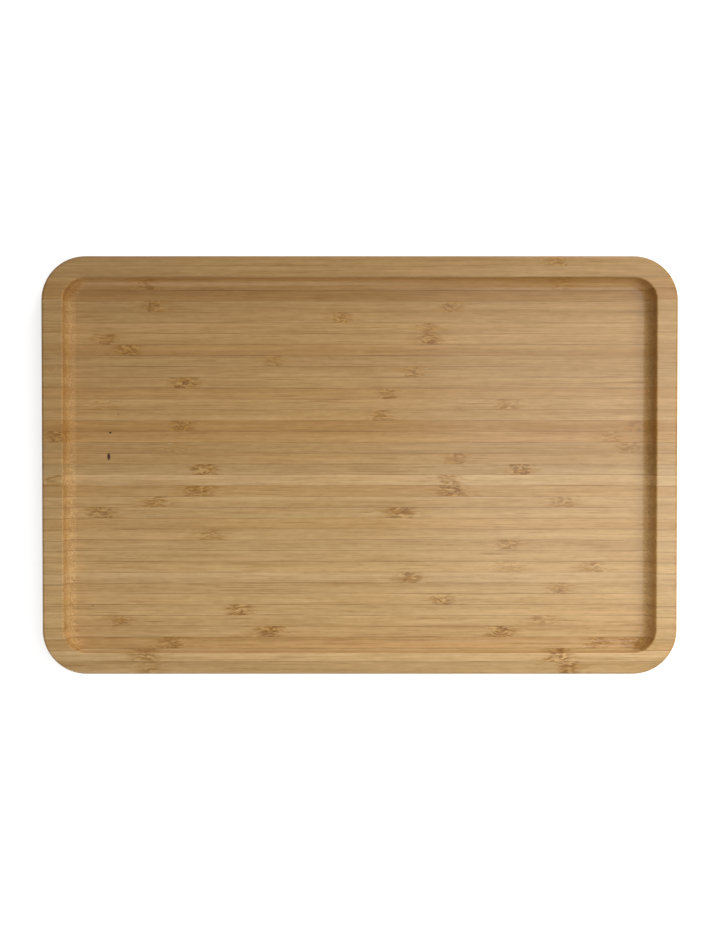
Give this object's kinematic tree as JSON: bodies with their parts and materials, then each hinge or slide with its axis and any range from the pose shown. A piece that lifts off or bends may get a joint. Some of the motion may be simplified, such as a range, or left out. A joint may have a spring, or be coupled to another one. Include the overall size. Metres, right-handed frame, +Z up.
{
  "type": "serving tray",
  "caption": "Rectangular bamboo serving tray with rounded corners: a thick board of edge-glued strips with a shallow coved recess and a finger bevel under the rim.",
  "frame": {"origin": "centre of the tray's underside, on the surface that the tray stands on", "axes": "+X along the tray's length and its strips, +Y towards the back long side, +Z up out of the recess"},
  "size_m": [0.38, 0.25, 0.018],
  "materials": {
    "bamboo_pale": "planed bamboo under a semi-gloss clear varnish",
    "bamboo_straw": "planed bamboo under a semi-gloss clear varnish",
    "bamboo_honey": "planed bamboo under a semi-gloss clear varnish",
    "bamboo_tan": "planed bamboo under a semi-gloss clear varnish",
    "bamboo_amber": "planed bamboo under a semi-gloss clear varnish"
  },
  "bodies": {
    "root": {"back_edge_strip": "bamboo_honey", "strip_01": "bamboo_honey", "strip_02": "bamboo_tan", "strip_03": "bamboo_amber", "strip_04": "bamboo_honey", "strip_05": "bamboo_honey", "strip_06": "bamboo_honey", "strip_07": "bamboo_honey", "strip_08": "bamboo_tan", "strip_09": "bamboo_honey", "strip_10": "bamboo_honey", "strip_11": "bamboo_honey", "strip_12": "bamboo_tan", "strip_13": "bamboo_honey", "strip_14": "bamboo_honey", "strip_15": "bamboo_amber", "strip_16": "bamboo_tan", "strip_17": "bamboo_honey", "strip_18": "bamboo_honey", "strip_19": "bamboo_straw", "strip_20": "bamboo_pale", "strip_21": "bamboo_honey", "strip_22": "bamboo_straw", "strip_23": "bamboo_straw", "strip_24": "bamboo_honey", "strip_25": "bamboo_straw", "strip_26": "bamboo_straw", "strip_27": "bamboo_straw", "strip_28": "bamboo_straw", "strip_29": "bamboo_pale", "strip_30": "bamboo_straw", "strip_31": "bamboo_straw", "strip_32": "bamboo_straw", "strip_33": "bamboo_straw", "strip_34": "bamboo_straw", "strip_35": "bamboo_honey", "strip_36": "bamboo_pale", "front_edge_strip": "bamboo_straw"}
  },
  "joints": []
}
